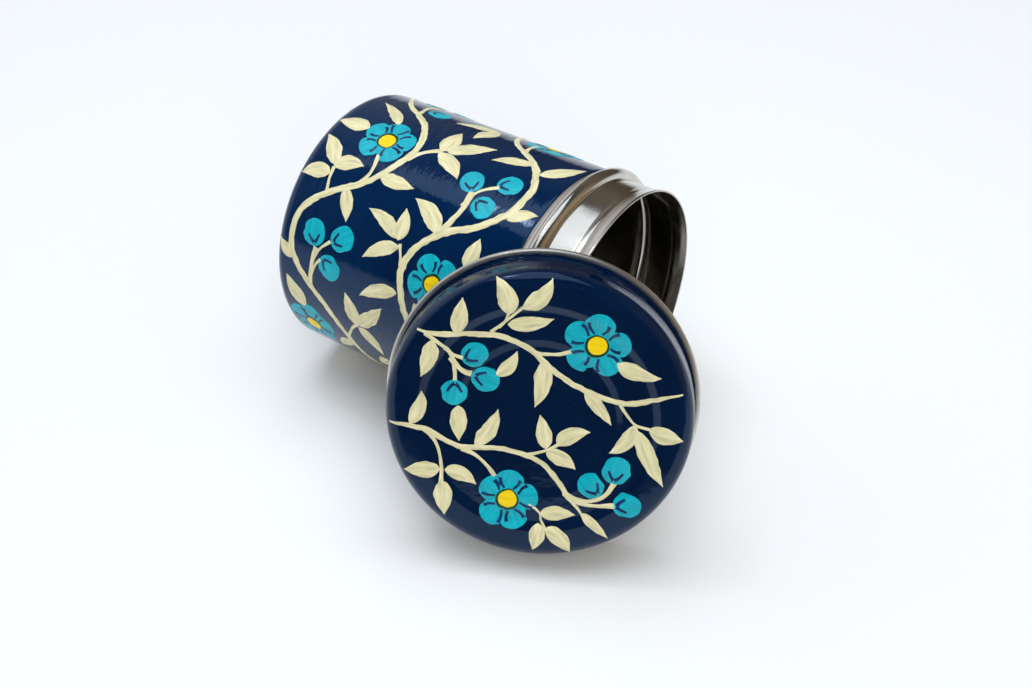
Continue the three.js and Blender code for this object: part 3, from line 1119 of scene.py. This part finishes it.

# %% [markdown]
# ### Navy enamel
#
# A hard glossy glaze over a deep blue body colour. It is smooth, but not flat: it was brushed on
# round the can, which leaves low waves about 2 mm apart, and it holds a few pinholes and specks
# of dust. The waves break up the edge of each reflection. The shine is tinted a little blue. The
# lid's copy of the glaze has a darker body colour than the can's. That darkening is painted shade
# for a face turned away from the overhead lamp.

# %% Enamel
def enamel(name, deep, pale):
    made, tree, shader = finish_named(name, IOR=1.5, Specular_Tint=linear("#B4D2F5"))
    own = add(tree, "Attribute", attribute_name="own").outputs["Vector"]
    cloud = add(tree, "TexNoise", {"Vector": own, "Scale": 0.05, "Detail": 3.0, "Roughness": 0.5}).outputs[0]
    body_colour = blended(tree, cloud, linear(deep), linear(pale))
    dust = add(tree, "TexVoronoi", {"Vector": own, "Scale": 0.42}).outputs["Distance"]
    speck = add(tree, "MapRange", {"Value": dust, "From Min": 0.06, "From Max": 0.04}).outputs[0]
    tree.links.new(blended(tree, speck, body_colour, linear("#2C4468")), shader.inputs["Base Color"])
    gloss = add(tree, "MapRange", {
        "Value": cloud, "From Min": 0.3, "From Max": 0.7, "To Min": 0.04, "To Max": 0.08,
    })
    tree.links.new(gloss.outputs[0], shader.inputs["Roughness"])
    round_it = add(tree, "VectorMath", {0: own, 1: (0.16, 0.16, 0.5)}, operation="MULTIPLY").outputs[0]
    waves = add(
        tree, "TexNoise", {"Vector": round_it, "Scale": 1.0, "Detail": 3.0, "Roughness": 0.5}
    ).outputs[0]
    orange_peel = add(tree, "TexNoise", {"Vector": own, "Scale": 1.1, "Detail": 2.0}).outputs[0]
    relief = add(tree, "Math", {0: orange_peel, 1: 0.12, 2: waves}, operation="MULTIPLY_ADD").outputs[0]
    bump = add(tree, "Bump", {"Height": relief, "Strength": 1.0, "Distance": 0.00009})
    tree.links.new(bump.outputs[0], shader.inputs["Normal"])
    return made


give(enamel("navy_enamel", "#00173A", "#012850"), can_coat)
# The lid's darker body colours are painted shade, not a different glaze.
give(enamel("navy_enamel_painted_shade", "#010F2A", "#021B3C"), lid_coat)

# %% [markdown]
# ### Brush-painted colours
#
# Artists' enamel paint, laid in one or two strokes. Each stroke is streaked along its length:
# where the bristles pressed, the coat is thin and the navy greys it, and between them it stands
# thick and pale. The streaks are a noise in the brush's own coordinates, long in the direction
# of the stroke and about 0.4 mm apart across it. One function makes all the colours, because
# only the three tones differ.

# %% Paints
def paint(name, thin, middle, thick, rough):
    made, tree, shader = finish_named(name, IOR=1.4, Roughness=rough)
    brush = add(tree, "Attribute", attribute_name="brush").outputs["Vector"]
    drawn = add(tree, "VectorMath", {0: brush, 1: (0.16, 1.1, 3.0)}, operation="MULTIPLY").outputs[0]
    streaks = add(
        tree, "TexNoise", {"Vector": drawn, "Scale": 1.0, "Detail": 3.0, "Roughness": 0.55}
    ).outputs[0]
    low = add(tree, "MapRange", {"Value": streaks, "From Min": 0.3, "From Max": 0.48}).outputs[0]
    high = add(tree, "MapRange", {"Value": streaks, "From Min": 0.5, "From Max": 0.68}).outputs[0]
    colour = blended(tree, high, blended(tree, low, linear(thin), linear(middle)), linear(thick))
    tree.links.new(colour, shader.inputs["Base Color"])
    bump = add(tree, "Bump", {"Height": streaks, "Strength": 0.5, "Distance": 0.00004})
    tree.links.new(bump.outputs[0], shader.inputs["Normal"])
    return made


give(paint("cream_paint", "#C0BE9A", "#DCD6A9", "#EAE4C0", 0.34), *films["cream"])
give(paint("turquoise_paint", "#0099AC", "#00A8BC", "#08B6C7", 0.38), *films["turquoise"])
give(paint("yellow_paint", "#EAC400", "#F3D000", "#F8DC10", 0.36), *films["yellow"])
give(paint("navy_paint", "#134479", "#0A2E5E", "#061A3C", 0.3), *films["dark"])
give(paint("green_paint", "#1F4F2C", "#163C26", "#0E2A22", 0.3), *films["ring"])

# %% [markdown]
# ### The cloth
#
# Bleached cotton, pulled smooth and lit almost to white. The weave is about half a millimetre
# and shows only as a faint grain. The card behind the camera is matt wool of a middle grey,
# which looks dark beside the white cloth.

# %% Cloth
cotton, tree, shader = finish_named("white_cotton", Roughness=0.9)
place = add(tree, "TexCoord").outputs["Object"]
grain = add(tree, "TexNoise", {"Vector": place, "Scale": 1800.0, "Detail": 2.0}).outputs[0]
tree.links.new(blended(tree, grain, linear("#E8EBEE"), linear("#EFF2F5")), shader.inputs["Base Color"])
give(cotton, floor)
wool, _, _ = finish_named("grey_wool", Base_Color=linear("#55606C"), Roughness=1.0)
give(wool, person)
